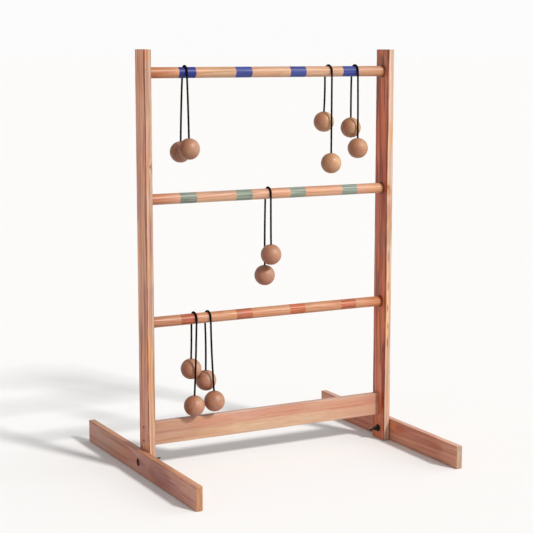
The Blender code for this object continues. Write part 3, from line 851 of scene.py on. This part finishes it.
def add_cords(material):
    """Each bola's cord, one braided length from knot to knot, and the two knots."""
    knot = knot_mesh()
    for bola in BOLAS:
        route = smooth_route(cord_route(bola), 0.0006)
        drawing = bmesh.new()
        braid_tube(drawing, route, CORD_RADIUS)
        name = bola + "_braided_cord"
        cord = finished(name, drawn_mesh(name, drawing), material, bola, [bola + "_cord"], 80)
        for label, side in ENDS.items():
            centre, up, _, _ = bola_side(bola, side)
            name = f"{bola}_{label}_tied_knot"
            piece = finished(name, knot.copy(), material, bola, [f"{bola}_{label}_knot"], 80)
            spot = centre - up * (KNOT_RECESS_FLOOR + FIT_GAP + KNOT_RADIUS)
            stand(piece, spot, up, spin=1.9 * len(name) + side)


def mark_painted_light_side(mesh, turn):
    """Stores at each point how far it faces the light, for the ball's painted shade and painted highlight.
    """
    facing = mesh.attributes.new("painted_light_facing", "FLOAT", "POINT")
    paler = turn.inverted() @ BALL_PAINTED_LIGHT_SIDE
    facing.data.foreach_set("value", [vertex.co.normalized().dot(paler) for vertex in mesh.vertices])


def add_balls(materials):
    ball = ball_mesh()
    chance = random.Random(5)
    for bola in BOLAS:
        for label, side in ENDS.items():
            centre, up, _, _ = bola_side(bola, side)
            name, node = f"{bola}_{label}_turned_ball", f"{bola}_{label}_ball"
            piece = finished(name, ball.copy(), materials[BALL_WOODS[bola]], bola, [node])
            turn = stand(piece, centre, up, spin=chance.uniform(0, 2 * math.pi))
            mark_painted_light_side(piece.data, turn)


# ---- frame

def add_board(node, along, cuts, body):
    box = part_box(node)
    end_edge = 0.0003 if node == "bottom_rail" else BOARD_EDGE
    plank = plank_mesh(node, box, "XYZ".index(along), LOOKS[node]["seed"], end_edge)
    mesh = combined(plank, cuts, "DIFFERENCE")
    mesh.name = node + "_board"
    piece = finished(mesh.name, mesh, board_material(node, along, box), body, [node])
    weighted = piece.modifiers.new("flat faces stay flat", "WEIGHTED_NORMAL")
    weighted.keep_sharp = True


def add_boards():
    """The uprights, the feet and the rail, each with its own board's grain."""
    socket = bore_mesh("socket", RUNG_RADIUS + FIT_GAP, RUNG_SOCKET_DEPTH, 0.0009)
    bolt_hole = bore_mesh("bolt_hole", BOLT_HOLE_RADIUS, 0.03, 0.0004)
    counterbore = bore_mesh("counterbore", COUNTERBORE_RADIUS, COUNTERBORE_DEPTH, 0.0005)
    head, shank = SCREW_HEAD_RADIUS + FIT_GAP, SCREW_SHANK_RADIUS + FIT_GAP
    above, end, neck = 0.002, -0.03, -SCREW_SINK - (head - shank)
    screw_hole = turned_mesh("screw_hole", [
        (0, above), (head, above), (head, -SCREW_SINK), (shank, neck), (shank, end), (0, end)], 32)

    for label, side in SIDES.items():
        inner, outer = reach(label + "_upright")
        cuts = [(socket, outward(-side, side * inner, 0, z)) for z in RUNG_HEIGHTS.values()]
        cuts.append((bolt_hole, outward(-side, side * inner, 0, BOLT_HEIGHT)))
        cuts += [(screw_hole, outward(side, side * outer, SCREW_Y, z)) for z in SCREW_HEIGHTS.values()]
        add_board(label + "_upright", "Z", cuts, "frame")

        foot = label + "_foot"
        face = outward(side, side * reach(foot)[1], 0, BOLT_HEIGHT)
        add_board(foot, "Y", [(bolt_hole, face), (counterbore, face)], foot)
    add_board("bottom_rail", "X", [], "frame")


def add_rungs():
    ease, steps = 0.0008, 40
    for rung in BAND_STAINS:
        node = rung + "_rung"
        half = (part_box(node)[1].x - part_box(node)[0].x) / 2
        profile = [(0, half), (RUNG_RADIUS - ease, half)]
        profile += [(RUNG_RADIUS, (half - ease) * (1 - 2 * step / steps)) for step in range(steps + 1)]
        profile += [(RUNG_RADIUS - ease, -half), (0, -half)]
        mesh = turned_mesh(node, profile, 72)
        mesh.transform(outward(1, z=RUNG_HEIGHTS[rung]))
        finished(node + "_dowel", mesh, rung_material(rung), "frame", [node])


# ---- fasteners

def bolt_mesh():
    """A domed bolt whose last 20 mm are threaded. Height 0 is the underside of its head."""
    near, far = reach("left_foot_bolt")
    length = far - near - BOLT_HEAD_RISE
    rim, ease, dome_steps = 0.0012, 0.0004, 14
    profile = []
    for step in range(dome_steps + 1):
        angle = math.pi / 2 * step / dome_steps
        rise = rim + (BOLT_HEAD_RISE - rim) * math.cos(angle)
        profile.append((BOLT_HEAD_RADIUS * math.sin(angle), rise))
    profile += arc(BOLT_HEAD_RADIUS - ease, ease, ease, 0, -90, 4) + [(BOLT_RADIUS, 0)]
    pitch, root = 0.001, BOLT_RADIUS - 0.00035
    height = 0.02 - length
    profile.append((BOLT_RADIUS, height))
    while height > 0.0015 - length:
        profile += [(root, height - pitch * 0.4), (root, height - pitch * 0.5),
                    (BOLT_RADIUS, height - pitch * 0.9), (BOLT_RADIUS, height - pitch)]
        height -= pitch
    profile += [(BOLT_RADIUS - 0.0007, -length), (0, -length)]
    return turned_mesh("foot_bolt", profile, 48)


def washer_mesh():
    low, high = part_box("left_washer")
    thickness, radius = high.x - low.x, (high.z - low.z) / 2
    ease, inner = 0.0003, BOLT_HOLE_RADIUS
    profile = [(inner + ease, 0)] + arc(radius - ease, -ease, ease, 90, 0, 4)
    profile += arc(radius - ease, ease - thickness, ease, 0, -90, 4)
    profile += [(inner + ease, -thickness), (inner, ease - thickness), (inner, -ease)]
    return turned_mesh("washer", profile, 64, closed=True)


def wing_mesh(angle):
    """One wing, a flat outline stood on edge beside the nut's axis and turned about it."""
    edge = 0.0007
    outline = bpy.data.curves.new("wing", "CURVE")
    outline.dimensions = "2D"
    outline.fill_mode = "BOTH"
    outline.extrude = WING_THICKNESS / 2 - edge
    outline.bevel_depth = edge
    outline.bevel_resolution = 3
    outline.offset = -edge
    outline.resolution_u = 12
    spline = outline.splines.new("BEZIER")
    shape = [(0.0042, 0.001), (0.01, 0.004), (0.0158, 0.012), (0.0125, 0.0165), (0.0042, 0.008)]
    spline.bezier_points.add(len(shape) - 1)
    for point, (out, rise) in zip(spline.bezier_points, shape):
        point.co = (out, -rise, 0)
        point.handle_left_type = "AUTO"
        point.handle_right_type = "AUTO"
    spline.use_cyclic_u = True
    drawing = bmesh.new()
    drawing.from_mesh(applied(linked("wing", outline)))
    bmesh.ops.remove_doubles(drawing, verts=drawing.verts, dist=0.00001)
    drawing.transform(Matrix.Rotation(angle, 4, "Z") @ Matrix.Rotation(math.pi / 2, 4, "X"))
    return drawn_mesh("wing", drawing)


def wing_nut_mesh():
    """A cast wing nut. Height 0 is the face against the washer; it reaches inward, to -Z."""
    bore = BOLT_HOLE_RADIUS - 0.0002
    profile = [(bore, 0), (0.0071, 0), (0.0075, -0.0004), (0.0075, -0.0016), (0.007, -0.0024),
               (0.006, -0.0036), (0.0055, -0.005), (0.0055, -0.008), (0.005, -0.0088),
               (0.0044, -0.009), (bore, -0.009)]
    hub = turned_mesh("wing_nut", profile, 64, closed=True)
    cast = linked("cast", combined(
        hub, [(wing_mesh(0), Matrix()), (wing_mesh(math.pi), Matrix())], "UNION"))
    remesh = cast.modifiers.new("cast skin", "REMESH")
    remesh.mode = "VOXEL"
    remesh.voxel_size = 0.0004
    soften = cast.modifiers.new("soft corners", "SMOOTH")
    soften.factor = 0.5
    soften.iterations = 4
    return applied(cast)


def screw_mesh():
    """A countersunk screw with a cross recess. Height 0 is the wood's face."""
    top = -SCREW_SINK
    neck = top - (SCREW_HEAD_RADIUS - SCREW_SHANK_RADIUS)
    profile = [(0, top), (SCREW_HEAD_RADIUS - 0.0002, top), (SCREW_HEAD_RADIUS, top - 0.0002),
               (SCREW_SHANK_RADIUS, neck), (SCREW_SHANK_RADIUS, -0.036), (0, -0.04)]
    arms = []
    for turn in (0, math.pi / 2):
        drawing = bmesh.new()
        bmesh.ops.create_cube(drawing, size=1.0, matrix=Matrix.Diagonal((0.0042, 0.0009, 0.0032, 1.0)))
        for vertex in drawing.verts:
            if vertex.co.z < 0:
                vertex.co.x *= 0.35
        turned = Matrix.Translation((0, 0, top)) @ Matrix.Rotation(turn + 0.4, 4, "Z")
        arms.append((drawn_mesh("cross_arm", drawing), turned))
    return combined(turned_mesh("rail_screw", profile, 48), arms, "DIFFERENCE")


def add_fasteners(black, oxide, zinc):
    bolt, washer, nut, screw = bolt_mesh(), washer_mesh(), wing_nut_mesh(), screw_mesh()
    nut_turn = Matrix.Rotation(math.pi / 2 - NUT_TURN, 4, "X")
    for label, side in SIDES.items():
        turn = outward(side)
        for node, name, mesh, metal, head_rise, rotation, body in (
                ("foot_bolt", "domed_bolt", bolt, oxide, BOLT_HEAD_RISE, turn, label + "_foot"),
                ("washer", "flat_washer", washer, black, 0, turn, "frame"),
                ("wing_nut", "cast_wing_nut", nut, black, 0, nut_turn @ turn, label + "_wing_nut")):
            x = side * (reach(f"{label}_{node}")[1] - head_rise)
            copy = mesh.copy()
            copy.transform(Matrix.Translation((x, 0, BOLT_HEIGHT)) @ rotation)
            finished(f"{label}_{name}", copy, metal, body, [f"{label}_{node}"])
        outer = reach(label + "_upright")[1]
        for level, height in SCREW_HEIGHTS.items():
            copy = screw.copy()
            copy.transform(outward(side, side * outer, SCREW_Y, height))
            node = f"{label}_{level}_rail_screw"
            finished(node + "_cross_head", copy, zinc, "frame", [node])


# ---- stage

def add_stage():
    """A plain pale floor that runs to the horizon, a soft key from the front right, pale sky."""
    drawing = bmesh.new()
    bmesh.ops.create_circle(drawing, cap_ends=True, segments=96, radius=300.0)
    floor = linked("floor", drawn_mesh("floor", drawing))
    plain = {"Base Color": (0.85, 0.85, 0.85, 1.0), "Roughness": 1.0, SPECULAR: 0.0}
    floor.data.materials.append(Paint("floor_paint", plain).material)

    # Low down the sky is as bright as the floor, so no line shows where they meet.
    world = bpy.data.worlds.new("studio")
    bpy.context.scene.world = world
    world.use_nodes = True
    sky = Nodes(world.node_tree)
    direction = sky.node("TexCoord", {}, output="Generated")
    height = sky.parts("SeparateXYZ", direction)[2]
    glow = sky.step(height, 0.12, 0.45, 0.97, 0.45)
    sky.tree.links.new(glow, sky.tree.nodes["Background"].inputs["Color"])

    # The key comes from the front right, and a wide weak one from the right lifts the far sides.
    for name, energy, angle, color, direction in (
            ("key", 2.9, 8, (1.0, 0.975, 0.94), (0.3, -0.72, 0.62)),
            ("rim", 0.9, 60, (1.0, 0.99, 0.98), (0.93, -0.25, 0.27))):
        light = bpy.data.lights.new(name, "SUN")
        light.energy = energy
        light.angle = math.radians(angle)
        light.color = color
        stand(linked(name, light), (0, 0, 0), Vector(direction))
    bpy.context.scene.view_settings.view_transform = "Standard"


# ---- everything

add_camera()
add_cords(cord_material())
add_balls({tone: ball_material(tone) for tone in BALL_TONES})
add_boards()
add_rungs()
add_fasteners(black_metal_material(), bolt_metal_material(), zinc_material())
add_stage()
